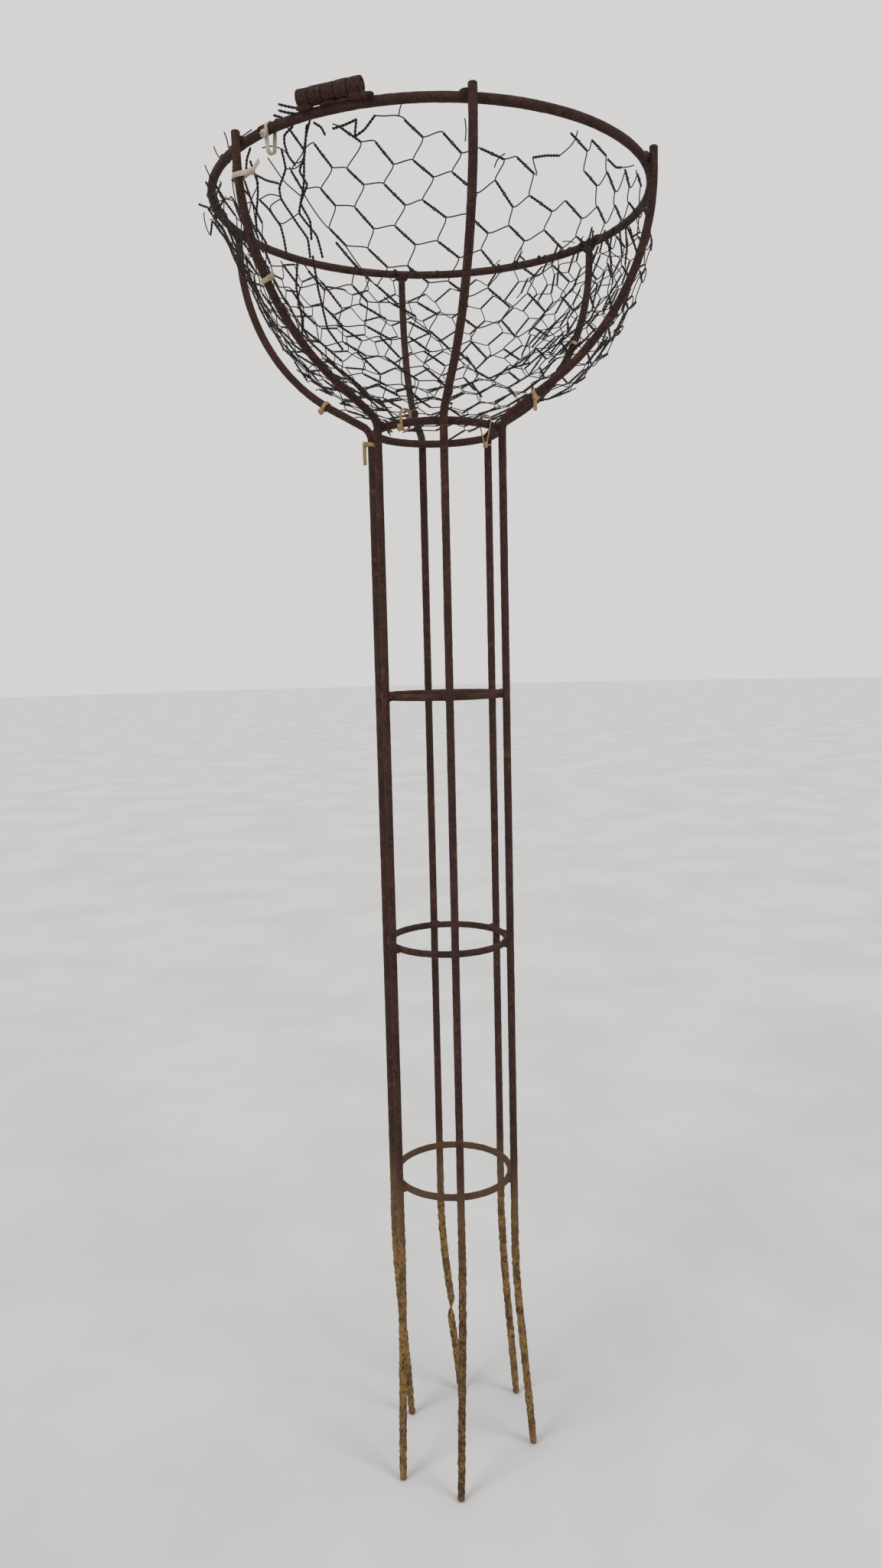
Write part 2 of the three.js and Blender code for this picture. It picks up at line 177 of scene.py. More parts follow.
# Each tie on a rod: rod, height, turn of its head round the rod, tilt of its loop, reach, tail,
# and how far the tail hangs down
ROD_TIES = {
    "tie_front_left_upper": ("rod_front_left", 1506 * MM, 90, -7, 22 * MM, 16 * MM, -0.9),
    "tie_front_left_lower": ("rod_front_left", 1412 * MM, 80, 6, 9 * MM, 10 * MM, -0.5),
    "tie_back_left_low": ("rod_back_left", 1324 * MM, 20, 8, 6.5 * MM, 4 * MM, 0.3),
    "tie_front_right_low": ("rod_front_right", 1314 * MM, -50, -8, 7 * MM, 14 * MM, 2.0),
    "tie_back_right_low": ("rod_back_right", 1411 * MM, 85, -12, 14 * MM, 9 * MM, -0.6),
    "tie_back_collar": ("rod_back", 1336 * MM, 60, -16, 7 * MM, 5 * MM, 0.6),
    "tie_back_left_collar": ("rod_back_left", 1274 * MM, 10, 8, 6 * MM, 15 * MM, 3.2),
}
# Each tie on a hoop: hoop, azimuth, turn of the loop off the bar, how far it rises and drops, the
# radius of its bottom, where the head sits (out and down), its tail, and how far the tail hangs
HOOP_TIES = {
    "tie_rim_slack": ("rim_hoop", 321, 2, 0, 19 * MM, 4.5 * MM, (8.5 * MM, 7 * MM), 7 * MM, 0.3),
    "tie_front_left_collar": ("collar_hoop", 331, 30, 9 * MM, 3 * MM, 5 * MM, (7 * MM, 5 * MM), 6 * MM, 1.6),
    "tie_front_right_collar": ("collar_hoop", 50, -38, 3 * MM, 19 * MM, 2 * MM, (0, 23 * MM), 8 * MM, 0.1),
}

# The camera stands in front, below the rim, and looks a little down
CAMERA_PLACE = Vector((-0.0008, -1.3489, 1.0310))
CAMERA_YAW = math.radians(-0.164)
CAMERA_PITCH = math.radians(-7.0)
CAMERA_ROLL = math.radians(1.345)
CAMERA_LENS = 25.476


# ---------------------------------------------------------------- geometry

def outward(azimuth):
    a = math.radians(azimuth)
    return np.array((math.sin(a), -math.cos(a), 0.0))


def polar(radius, azimuth, z):
    return outward(azimuth) * radius + np.array((0, 0, z))


def along_hoop(azimuth):
    """The level direction along a hoop."""
    return np.cross(UP, outward(azimuth))


def signed(azimuth):
    """The same azimuth between -180 and 180."""
    return (azimuth + 180) % 360 - 180


def unit(v):
    return v / np.linalg.norm(v)


def smooth(low, high, x):
    t = min(max((x - low) / (high - low), 0.0), 1.0)
    return t * t * (3 - 2 * t)


def turned(v, axis, angle):
    return np.array(Matrix.Rotation(angle, 3, Vector(axis)) @ Vector(v))


def bent_through(corners, radii):
    """Points along straight runs whose inner corners are rounded to the given radii."""
    points = [corners[0]]
    for before, corner, after, radius in zip(corners, corners[1:], corners[2:], radii):
        a = unit(before - corner)
        b = unit(after - corner)
        half = math.acos(float(np.clip(a @ b, -1, 1))) / 2
        centre = corner + unit(a + b) * radius / math.sin(half)
        arm = corner + a * radius / math.tan(half) - centre
        end = corner + b * radius / math.tan(half) - centre
        axis = unit(np.cross(arm, end))
        sweep = math.pi - 2 * half
        angles = [sweep * k / BEND_STEPS for k in range(BEND_STEPS + 1)]
        points += [centre + turned(arm, axis, angle) for angle in angles]
    points.append(corners[-1])
    return np.array(points)


def lengths_along(points):
    steps = np.linalg.norm(np.diff(points, axis=0), axis=1)
    return np.concatenate(([0.0], np.cumsum(steps)))


def resampled(points, places):
    """The points at given lengths along a polyline."""
    along = lengths_along(points)
    return np.stack([np.interp(places, along, points[:, k]) for k in range(3)], axis=1)


def frames(points, closed=False):
    """Two directions across a path at each point, carried along without twist."""
    if closed:
        tangents = np.roll(points, -1, axis=0) - np.roll(points, 1, axis=0)
    else:
        tangents = np.gradient(points, axis=0)
    tangents /= np.linalg.norm(tangents, axis=1)[:, None]
    start = np.array((0.0, 0.0, 1.0))
    if abs(tangents[0][2]) > 0.9:
        start = np.array((1.0, 0.0, 0.0))
    normals = np.zeros_like(points)
    for i, t in enumerate(tangents):
        start = unit(start - (start @ t) * t)
        normals[i] = start
    return normals, np.cross(tangents, normals)


class Solid:
    """Gathers tubes and lumps into one mesh."""

    def __init__(self):
        self.vertices = []
        self.faces = []
        self.count = 0

    def add(self, vertices, faces):
        self.vertices.append(vertices)
        self.faces += [tuple(i + self.count for i in face) for face in faces]
        self.count += len(vertices)

    def tube(self, points, radius, sides=5, closed=False, rough=None):
        """A round tube along points. rough(point) is how far the surface stands out there."""
        across, over = frames(points, closed)
        radii = np.broadcast_to(radius, len(points))
        angles = np.arange(sides) * 2 * math.pi / sides
        cos, sin = np.cos(angles), np.sin(angles)
        out = across[:, None, :] * cos[None, :, None] + over[:, None, :] * sin[None, :, None]
        shell = points[:, None, :] + out * radii[:, None, None]
        if rough is not None:
            flat = shell.reshape(-1, 3)
            lift = np.array([rough(Vector(p)) for p in flat]).reshape(len(points), sides)
            shell = shell + out * lift[:, :, None]
        faces = []
        rings = len(points)
        for i in range(rings if closed else rings - 1):
            a, b = i * sides, ((i + 1) % rings) * sides
            for k in range(sides):
                n = (k + 1) % sides
                faces.append((a + k, a + n, b + n, b + k))
        if not closed:
            faces.append(tuple(reversed(range(sides))))
            faces.append(tuple(range((rings - 1) * sides, rings * sides)))
        self.add(shell.reshape(-1, 3), faces)

    def ribbon(self, points, wide, width, thickness):
        """A flat strap along points. wide is the direction of its width."""
        tangents = np.gradient(points, axis=0)
        tangents /= np.linalg.norm(tangents, axis=1)[:, None]
        across = np.cross(tangents, wide)
        across /= np.linalg.norm(across, axis=1)[:, None]
        edge = np.cross(across, tangents)
        w, t, c = width / 2, thickness / 2, thickness / 5
        outline = [(w, t - c), (w - c, t), (c - w, t), (-w, t - c),
                   (-w, c - t), (c - w, -t), (w - c, -t), (w, c - t)]
        rings = [points + edge * u + across * v for u, v in outline]
        shell = np.stack(rings, axis=1)
        sides = len(outline)
        faces = [tuple(range(sides))]
        for i in range(len(points) - 1):
            for k in range(sides):
                n = (k + 1) % sides
                faces.append((i * sides + k, (i + 1) * sides + k, (i + 1) * sides + n, i * sides + n))
        last = (len(points) - 1) * sides
        faces.append(tuple(last + k for k in reversed(range(sides))))
        self.add(shell.reshape(-1, 3), faces)

    def lump(self, centre, axes, rough=0.0004, scale=260, rings=9, sides=14):
        """A bead: an ellipsoid with a rough surface. axes are its three half axes as vectors."""
        x, y, z = (np.array(a) for a in axes)
        vertices = [centre + z]
        for i in range(1, rings):
            polar_angle = math.pi * i / rings
            for k in range(sides):
                a = 2 * math.pi * k / sides
                flat = (x * math.cos(a) + y * math.sin(a)) * math.sin(polar_angle)
                vertices.append(centre + flat + z * math.cos(polar_angle))
        vertices.append(centre - z)
        vertices = np.array(vertices)
        for i, p in enumerate(vertices):
            lift = noise.fractal(Vector(p) * scale, 0.8, 2.0, 3) * rough
            vertices[i] = p + unit(p - centre) * lift
        faces = [(0, 1 + k, 1 + (k + 1) % sides) for k in range(sides)]
        for i in range(rings - 2):
            a, b = 1 + i * sides, 1 + (i + 1) * sides
            for k in range(sides):
                n = (k + 1) % sides
                faces.append((a + k, b + k, b + n, a + n))
        last = 1 + (rings - 2) * sides
        end = len(vertices) - 1
        faces += [(last + (k + 1) % sides, last + k, end) for k in range(sides)]
        self.add(vertices, faces)

    def piece(self, name, material, body, slot, *nodes):
        """Makes the object, puts the material on it and ties it to the frame."""
        mesh = bpy.data.meshes.new(name)
        mesh.from_pydata(np.concatenate(self.vertices).tolist(), [], self.faces)
        mesh.polygons.foreach_set("use_smooth", [True] * len(mesh.polygons))
        mesh.materials.append(material)
        mesh.update()
        made = bpy.data.objects.new(name, mesh)
        bpy.context.scene.collection.objects.link(made)
        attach(made, body)
        if nodes:
            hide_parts(*nodes)
        return made


# ---------------------------------------------------------------- materials

class Shader:
    """A short way to write a node material."""

    def __init__(self, name):
        self.material = bpy.data.materials.new(name)
        self.material.use_nodes = True
        self.tree = self.material.node_tree
        self.surface = self.tree.nodes["Principled BSDF"]
        self.place = self.tree.nodes.new("ShaderNodeTexCoord").outputs["Object"]

    def node(self, kind, **inputs):
        made = self.tree.nodes.new("ShaderNode" + kind)
        for key, value in inputs.items():
            self.feed(made.inputs[key.replace("_", " ")], value)
        return made

    def feed(self, socket, value):
        if isinstance(value, bpy.types.NodeSocket):
            self.tree.links.new(value, socket)
        else:
            socket.default_value = value

    def noise(self, scale, detail=6.0, rough=0.6, stretch=None):
        place = self.place
        if stretch is not None:
            mapped = self.node("Mapping", Vector=place, Scale=stretch)
            place = mapped.outputs["Vector"]
        made = self.node("TexNoise", Vector=place, Scale=scale, Detail=detail, Roughness=rough)
        return made.outputs["Fac"]

    def cells(self, scale):
        return self.node("TexVoronoi", Vector=self.place, Scale=scale).outputs["Distance"]

    def ramp(self, value, low, high, start=0.0, end=1.0):
        made = self.node("MapRange", Value=value)
        made.interpolation_type = "SMOOTHSTEP"
        for key, number in (("From Min", low), ("From Max", high), ("To Min", start), ("To Max", end)):
            made.inputs[key].default_value = number
        return made.outputs["Result"]

    def times(self, a, b):
        made = self.tree.nodes.new("ShaderNodeMath")
        made.operation = "MULTIPLY"
        self.feed(made.inputs[0], a)
        self.feed(made.inputs[1], b)
        return made.outputs[0]

    def mix(self, share, a, b):
        made = self.tree.nodes.new("ShaderNodeMix")
        made.data_type = "RGBA"
        self.feed(made.inputs["Factor"], share)
        self.feed(made.inputs["A"], a)
        self.feed(made.inputs["B"], b)
        return made.outputs["Result"]

    def axis(self, name):
        return self.node("SeparateXYZ", Vector=self.place).outputs[name]

    def bump(self, value, distance, strength=1.0, under=None):
        made = self.node("Bump", Height=value, Distance=distance, Strength=strength)
        if under is not None:
            self.tree.links.new(under, made.inputs["Normal"])
        return made.outputs["Normal"]


def colour(red, green, blue):
    return (red, green, blue, 1.0)


def rusted_steel(name, clay=True):
    """Pitted rust, with ochre clay and dark crust on what stood in the ground."""
    s = Shader(name)
    broad = s.ramp(s.noise(28, 5), 0.38, 0.62)
    fine = s.ramp(s.noise(330, 9, 0.7), 0.44, 0.62)
    grain = s.ramp(s.noise(1500, 6, 0.7), 0.4, 0.62)
    pits = s.ramp(s.cells(620), 0.05, 0.42)
    base = s.mix(broad, colour(0.029, 0.0120, 0.0098), colour(0.057, 0.0230, 0.0168))
    base = s.mix(s.times(fine, 0.6), base, colour(0.125, 0.047, 0.028))
    base = s.mix(s.times(grain, 0.35), base, colour(0.018, 0.011, 0.010))
    bloom = s.ramp(s.noise(75, 8, 0.65), 0.56, 0.68)
    base = s.mix(s.times(bloom, 0.5), base, colour(0.185, 0.066, 0.030))
    if clay:
        height = s.axis("Z")
        tan = s.ramp(height, 0.41, 0.35, 0.0, 0.72)
        base = s.mix(tan, base, colour(0.150, 0.083, 0.043))
        wet = s.ramp(height, 0.385, 0.24)
        patch = s.ramp(s.noise(85, 9, 0.7, (1, 1, 0.5)), 0.38, 0.56)
        ochre = s.mix(s.ramp(s.noise(160, 6), 0.35, 0.65), colour(0.235, 0.130, 0.038),
                      colour(0.420, 0.245, 0.070))
        base = s.mix(s.times(s.times(wet, patch), 0.92), base, ochre)
        crust = s.ramp(s.noise(240, 8, 0.75, (1, 1, 0.6)), 0.52, 0.60)
        base = s.mix(s.times(wet, crust), base, colour(0.040, 0.023, 0.016))
        front = s.times(s.ramp(s.axis("Y"), -0.068, -0.078), s.ramp(s.axis("X"), -0.045, -0.03))
        speckle = s.ramp(s.noise(380, 8, 0.75), 0.44, 0.56, 0.15, 0.85)
        base = s.mix(s.times(s.times(wet, front), speckle), base, colour(0.042, 0.022, 0.016))
    s.feed(s.surface.inputs["Base Color"], base)
    s.feed(s.surface.inputs["Roughness"], s.ramp(s.noise(420, 6), 0.3, 0.7, 0.72, 0.96))
    s.surface.inputs["Metallic"].default_value = 0.12
    s.surface.inputs["Specular IOR Level"].default_value = 0.35
    coarse = s.bump(s.noise(260, 10, 0.72), 0.0011)
    pitted = s.bump(pits, 0.0005, 0.8, coarse)
    s.feed(s.surface.inputs["Normal"], s.bump(grain, 0.00025, 0.8, pitted))
    return s.material


def weathered_wire():
    """Old galvanised wire gone dark, with brown rust along it."""
    s = Shader("weathered_wire")
    rust = s.ramp(s.noise(120, 6, 0.65), 0.45, 0.7)
    base = s.mix(rust, colour(0.013, 0.009, 0.0085), colour(0.046, 0.024, 0.018))
    bare = s.ramp(s.noise(420, 5), 0.56, 0.7)
    base = s.mix(s.times(bare, 0.15), base, colour(0.080, 0.068, 0.064))
    s.feed(s.surface.inputs["Base Color"], base)
    s.feed(s.surface.inputs["Roughness"], s.ramp(rust, 0.0, 1.0, 0.5, 0.85))
    s.surface.inputs["Metallic"].default_value = 0.35
    s.feed(s.surface.inputs["Normal"], s.bump(s.noise(1800, 5), 0.0002))
    return s.material


def aged_nylon():
    """Cable ties: cream where they hang high, browner and dusty down at the collar."""
    s = Shader("aged_nylon")
    low = s.ramp(s.axis("Z"), 1.47, 1.36)
    base = s.mix(low, colour(0.520, 0.470, 0.370), colour(0.430, 0.265, 0.120))
    dust = s.ramp(s.noise(90, 6, 0.65), 0.45, 0.7)
    base = s.mix(s.times(dust, 0.4), base, colour(0.260, 0.165, 0.090))
    s.feed(s.surface.inputs["Base Color"], base)
    s.feed(s.surface.inputs["Roughness"], s.ramp(dust, 0.0, 1.0, 0.38, 0.7))
    s.surface.inputs["Subsurface Weight"].default_value = 0.25
    s.surface.inputs["Subsurface Scale"].default_value = 0.001
    s.feed(s.surface.inputs["Normal"], s.bump(s.noise(600, 4), 0.0001, 0.5))
    return s.material


def plain_floor():
    s = Shader("studio_floor")
    s.feed(s.surface.inputs["Base Color"],
           s.mix(s.ramp(s.noise(2.5, 3), 0.3, 0.7), colour(0.56, 0.56, 0.56), colour(0.6, 0.6, 0.6)))
    s.surface.inputs["Roughness"].default_value = 0.9
    return s.material


# ---------------------------------------------------------------- rods, hoops and welds

def rod_line(name):
    """A rod's centre line from its top down to its foot, as a fine polyline."""
    rim, shaft, foot, top = RODS[name]
    radius = RIM_OUTSIDE_R if top else RIM_R
    cone_z = SHOULDER_Z + (radius - SHAFT_R) * math.tan(CONE_RISE)
    corners = [
        polar(radius, rim, top or RIM_Z - RIM_BAR_R - WELD_GAP),
        polar(radius, rim, cone_z),
        polar(SHAFT_R, shaft, SHOULDER_Z),
        polar(SHAFT_R, shaft, KNEE_Z),
        np.array((foot[0], foot[1], 0.6 * MM)),
    ]
    return bent_through(corners, [BOWL_BEND_R, SHOULDER_BEND_R, KNEE_BEND_R])


def steel_skin(p):
    """How far rusted steel stands out at a point: small pits, and thick flakes near the ground."""
    ground = smooth(0.40, 0.27, p.z) if p.z < 0.4 else 0.0
    lift = noise.fractal(p * 240, 0.8, 2.0, 3) * 0.00017 + noise.noise(p * 70) * 0.00016
    if ground > 0:
        flake = noise.noise(Vector((p.x * 320, p.y * 320, p.z * 170)))
        lift += ground * (smooth(0.05, 0.16, flake) * 0.0006 - smooth(-0.2, -0.45, flake) * 0.0004)
        lift += ground * noise.fractal(p * 520, 0.8, 2.0, 3) * 0.0002
    return lift


def rod_places(total):
    """Ring places along a rod: close together on the rough leg and at both ends."""
    upper = np.arange(0, total - ROUGH_LEG, RING_GAP)
    lower = np.arange(total - ROUGH_LEG, total - LAST_RING_GAP, ROUGH_RING_GAP)
    ends = np.array(END_RINGS) * MM
    return np.unique(np.concatenate((upper, lower, ends, total - ends, [total])))


def necked(points, radii):
    """The back rod's neck, where rust has thinned it: it moves the points aside there."""
    waist = np.exp(-(((points[:, 2] - NECK_Z) / NECK_LENGTH) ** 2))
    above = (points[:, 2] - NECK_Z) / NECK_STEP_LENGTH
    points[:, 0] += NECK_STEP * np.tanh(above) * np.exp(-((above / 6) ** 2))
    return radii * (1 - NECK_WAIST * waist)


def add_rod(name, material):
    line = rod_line(name)
    total = lengths_along(line)[-1]
    places = rod_places(total)
    points = resampled(line, places)
    from_foot = total - places
    radii = ROD_R + (FOOT_TIP_R - ROD_R) * np.clip(1 - from_foot / FOOT_TAPER, 0, 1)
    cap = np.minimum(places, from_foot) / END_ROUNDING
    radii = radii * np.where(cap < 1, np.sqrt(np.clip(1 - (1 - cap) ** 2, 0.08, 1)), 1)
    if name == "rod_back":
        radii = necked(points, radii)
    rod = Solid()
    rod.tube(points, radii, sides=16, rough=steel_skin)
    rod.piece(name + "_rusted", material, "stand", "stained_steel", name)


def add_hoop(name, material):
    radius, bar = HOOPS[name]
    steps = int(2 * math.pi * radius / HOOP_RING_GAP)
    z = middle_z(name)
    ring = np.array([polar(radius, 360 * k / steps, z) for k in range(steps)])
    hoop = Solid()
    hoop.tube(ring, bar, sides=18, closed=True, rough=steel_skin)
    hoop.piece(name + "_rusted", material, "stand", "rusty_steel", name)


def weld(beads, centre, azimuth, sizes):
    """A bead on a joint. sizes are its half lengths along the hoop, outwards and up."""
    along = along_hoop(azimuth) * sizes[0] * MM
    out = outward(azimuth) * sizes[1] * MM
    beads.lump(centre, (along, out, UP * sizes[2] * MM), 0.0006, 190)


def grown(bead, grow):
    """A bead's half lengths, longer and taller but no thicker."""
    along, out, up = bead
    return along * grow, out, up * grow


def add_welds(material):
    rng = random.Random(11)
    for hoop, (radius, bar) in HOOPS.items():
        beads = Solid()
        z = middle_z(hoop)
        for name, (rim, shaft, _, top) in RODS.items():
            grow = rng.uniform(0.85, 1.2)
            if hoop != "rim_hoop":
                centre = polar(radius + bar, shaft, z + rng.uniform(-1.2, 0.8) * MM)
                weld(beads, centre, shaft, grown(CAGE_BEAD, grow))
            elif top:
                centre = polar(RIM_R + 2 * MM, rim - 0.9, z + 2.6 * MM)
                weld(beads, centre, rim, grown(OUTSIDE_ROD_BEAD, grow))
            else:
                centre = polar(RIM_R, rim, z - RIM_BAR_R)
                weld(beads, centre, rim, grown(UNDER_RIM_BEAD, grow))
        if hoop != "rim_hoop":
            seam = rng.uniform(80, 110)
            weld(beads, polar(radius, seam, z + 1 * MM), seam, (5.5, bar / MM * 1.12, bar / MM * 1.05))
        beads.piece("welds_" + hoop, material, "stand", "rusty_steel")


def barrel_frame():
    """The barrel's centre, its axis and its two cross directions."""
    out = outward(BARREL_AZIMUTH)
    centre = polar(RIM_R, BARREL_AZIMUTH, RIM_Z)
    away = out * math.sin(BARREL_TILT) + np.array((0, 0, math.cos(BARREL_TILT)))
    along = along_hoop(BARREL_AZIMUTH)
    return centre + away * BARREL_FROM_RIM, along, away, np.cross(along, away)


def lathe(solid, centre, axis, across, over, profile, sides=32):
    """A closed ring turned round an axis from a closed profile of (along, radius)."""
    shell = []
    for along, radius in profile:
        for k in range(sides):
            a = 2 * math.pi * k / sides
            out = across * math.cos(a) + over * math.sin(a)
            p = centre + axis * along + out * radius
            lift = noise.fractal(Vector(p) * 300, 0.8, 2.0, 4) * 0.00026 if radius > 5 * MM else 0.0
            shell.append(p + out * lift)
    faces = []
    count = len(profile)
    for i in range(count):
        a, b = i * sides, ((i + 1) % count) * sides
        for k in range(sides):
            n = (k + 1) % sides
            faces.append((a + k, b + k, b + n, a + n))
    solid.add(np.array(shell), faces)


def knuckle_profile(radius):
    """A knuckle's closed profile of (along, radius), with rounded outer edges and a bore."""
    half = KNUCKLE_LENGTH / 2
    ease = KNUCKLE_EASE
    rounded = [(-half + ease * (1 - math.cos(a)), radius - ease * (1 - math.sin(a)))
               for a in np.linspace(0, math.pi / 2, 5)]
    flank = [(x, radius) for x in np.linspace(-half + ease, half - ease, 9)[1:-1]]
    mirrored = [(-x, r) for x, r in reversed(rounded)]
    return [(-half, KNUCKLE_BORE_R), *rounded, *flank, *mirrored, (half, KNUCKLE_BORE_R)]


def add_knuckles(material):
    centre, along, away, over = barrel_frame()
    for name, (place, radius, body) in KNUCKLES.items():
        knuckle = Solid()
        lathe(knuckle, centre + along * place, along, away, over, knuckle_profile(radius))
        knuckle.piece(name + "_rusted", material, body, "rusty_steel", name)


def add_pin(material):
    centre, along, _, _ = barrel_frame()
    places = np.linspace(-PIN_LENGTH / 2, PIN_LENGTH / 2, 40)
    radii = np.full(len(places), PIN_R)
    radii[[0, -1]] = PIN_R * 0.86
    pin = Solid()
    pin.tube(centre + along * places[:, None], radii, sides=20)
    pin.piece("hinge_pin_rusted", material, "stand", "rusty_steel", "hinge_pin")


def add_barrel_beads(material):
    centre, along, away, over = barrel_frame()
    beads = Solid()
    for place, length, thick, high, depth in BARREL_BEADS:
        foot = centre + along * place * MM - away * depth * MM + over * BEAD_SHIFT * MM
        beads.lump(foot, (along * length * MM, over * thick * MM, away * high * MM), 0.0007, 210)
    beads.piece("welds_barrel", material, "stand", "rusty_steel")


def add_barrel(material):
    add_knuckles(material)
    add_pin(material)
    add_barrel_beads(material)


# ---------------------------------------------------------------- cable ties

def tie_head(strap, centre, x, y, z):
    """The head: a small block with eased edges and a raised lip round the strap's slot."""
    a, b, c = TIE_HEAD
    for inset, size in ((0.0, 1.0), (0.5 * MM, 0.82)):
        half = (a / 2 + inset, b / 2 * size, c / 2 * size)
        corners = []
        for end in (-1, 1):
            for u, v in HEAD_OUTLINE:
                corners.append(centre + x * half[0] * end + y * half[1] * u + z * half[2] * v)
        sides = len(HEAD_OUTLINE)
        faces = [(i, (i + 1) % sides, sides + (i + 1) % sides, sides + i) for i in range(sides)]
        faces += [tuple(reversed(range(sides))), tuple(range(sides, 2 * sides))]
        strap.add(np.array(corners), faces)


def tie_loop(radius, reach):
    """The strap's path in its own plane: round the bar and out to the head at reach."""
    if reach < radius * 1.6:
        return [(radius * math.cos(a), radius * math.sin(a)) for a in np.linspace(0, 2 * math.pi, 33)]
    lean = math.acos(radius / reach) * 0.92
    back = np.linspace(lean, 2 * math.pi - lean, 26)
    wrap = [(radius * math.cos(a), radius * math.sin(a)) for a in back]
    tip = (reach, 0.0)
    first = [(reach + (wrap[0][0] - reach) * t, wrap[0][1] * t + 0.7 * MM) for t in (0.0, 0.35, 0.7)]
    last = [(reach + (wrap[-1][0] - reach) * t, wrap[-1][1] * t - 0.7 * MM) for t in (0.7, 0.35, 0.0)]
    return [tip, *first, *wrap, *last, tip]


def add_tail(strap, head, x, wide, length, hang):
    """The strap's free end, which leaves the head along x and bends down."""
    shares = np.linspace(0, 1, 14)[:, None]
    slack = max(hang, 0)
    ahead = length * shares * (1 - 0.5 * min(slack, 1.6) * shares) / (1 + slack)
    path = head + x * ahead + DOWN * hang * length * 0.5 * shares**1.5
    strap.ribbon(path, wide, TIE_WIDTH * 0.86, TIE_THICKNESS * 0.8)


def add_rod_tie(name, material):
    rod, height, turn, tilt, reach, tail, hang = ROD_TIES[name]
    line = rod_line(rod)
    place = np.interp(-height, -line[:, 2], lengths_along(line))
    point, above = resampled(line, np.array((place, place - 2 * MM)))
    along = unit(above - point)
    out = unit(point * np.array((1, 1, 0)))
    facing = turned(unit(out - (out @ along) * along), along, math.radians(turn))
    lean = math.radians(tilt)
    wide = along * math.cos(lean) - facing * math.sin(lean)
    x = facing * math.cos(lean) + along * math.sin(lean)
    z = np.cross(x, wide)
    strap = Solid()
    loop = np.array([point + x * u + z * v for u, v in tie_loop(ROD_R + STRAP_GAP, reach)])
    fine = resampled(loop, np.linspace(0, lengths_along(loop)[-1], STRAP_POINTS))
    strap.ribbon(fine, wide, TIE_WIDTH, TIE_THICKNESS)
    head = point + x * (reach + TIE_HEAD[0] / 2)
    tie_head(strap, head, x, wide, z)
    add_tail(strap, head + z * 0.8 * MM, x, wide, tail, hang)
    strap.piece(name + "_strap", material, "stand", "nylon", name)


def add_hoop_tie(name, material):
    """A slack tie: its loop passes over the hoop's bar and hangs below it."""
    hoop, azimuth, turn, rise, drop, lower, (head_out, head_down), tail, hang = HOOP_TIES[name]
    radius, bar = HOOPS[hoop]
    out = outward(azimuth)
    along = along_hoop(azimuth)
    turn = math.radians(turn)
    wide = along * math.cos(turn) + out * math.sin(turn)
    x = unit(out - (out @ wide) * wide)
    point = polar(radius, azimuth, middle_z(hoop))
    upper = bar / math.cos(turn) + 1.2 * MM
    path = [(upper * math.cos(a), -rise - upper * math.sin(a)) for a in np.linspace(0, math.pi, 14)]
    path += [(-lower * math.cos(a), drop + lower * math.sin(a)) for a in np.linspace(0, math.pi, 14)]
    path.append(path[0])
    loop = np.array([point + x * u + DOWN * v for u, v in path])
    strap = Solid()
    fine = resampled(loop, np.linspace(0, lengths_along(loop)[-1], STRAP_POINTS))
    strap.ribbon(fine, wide, TIE_WIDTH, TIE_THICKNESS)
    head = point + x * head_out + DOWN * head_down
    tie_head(strap, head, x, wide, DOWN)
    add_tail(strap, head, x, wide, tail, hang)
    strap.piece(name + "_strap", material, "stand", "nylon", name)


def add_ties(material):
    for name in ROD_TIES:
        add_rod_tie(name, material)
    for name in HOOP_TIES:
        add_hoop_tie(name, material)


# ---------------------------------------------------------------- netting

def net_section():
    """The lengths, radii and heights of the netting's section, from the rim down into the shaft."""
    lift = (RIM_R - NET_WALL_R) / math.cos(CONE_RISE)

    def on_cone(radius):
        return SHOULDER_Z + (radius - SHAFT_R) * math.tan(CONE_RISE) + lift

    corners = [
        np.array((NET_WALL_R, 0, RIM_Z)),
        np.array((NET_WALL_R, 0, on_cone(NET_WALL_R))),
        np.array((NET_THROAT_R, 0, on_cone(NET_THROAT_R))),
        np.array((NET_THROAT_R, 0, NET_BOTTOM_Z)),
    ]
    line = bent_through(corners, [NET_BEND_R, 12 * MM])
    total = lengths_along(line)[-1]
    places = np.arange(0, total, 2 * MM)
    fine = resampled(line, places)
    return places, fine[:, 0], fine[:, 2]


SECTION = net_section()


def on_bowl(azimuth, depth, lift):
    """A point of the netting: azimuth, depth below the rim along the bowl, and how far outwards."""
    places, radii, heights = SECTION
    low, high = depth - 2 * MM, depth + 2 * MM
    r, z = np.interp(depth, places, radii), np.interp(depth, places, heights)
    dr = np.interp(high, places, radii) - np.interp(low, places, radii)
    dz = np.interp(high, places, heights) - np.interp(low, places, heights)
    size = math.hypot(dr, dz) or 1.0
    if depth < 0:
        z = RIM_Z - depth
    return polar(r - lift * dz / size, azimuth, z + lift * dr / size)


def stands_out(azimuth, depth):
    """How far outwards the netting stands: out at the rim and in below it on the left, out on the right."""
    a = signed(azimuth)
    left = smooth(-116, -92, a) * smooth(-46, -66, a)
    right = smooth(62, 82, a) * smooth(128, 106, a)
    hang = smooth(34 * MM, 8 * MM, depth) * 15 * MM - smooth(34 * MM, 105 * MM, depth) * 20 * MM
    bulge = smooth(10 * MM, 60 * MM, depth) * smooth(270 * MM, 200 * MM, depth) * 16 * MM
    return hang * left + bulge * right


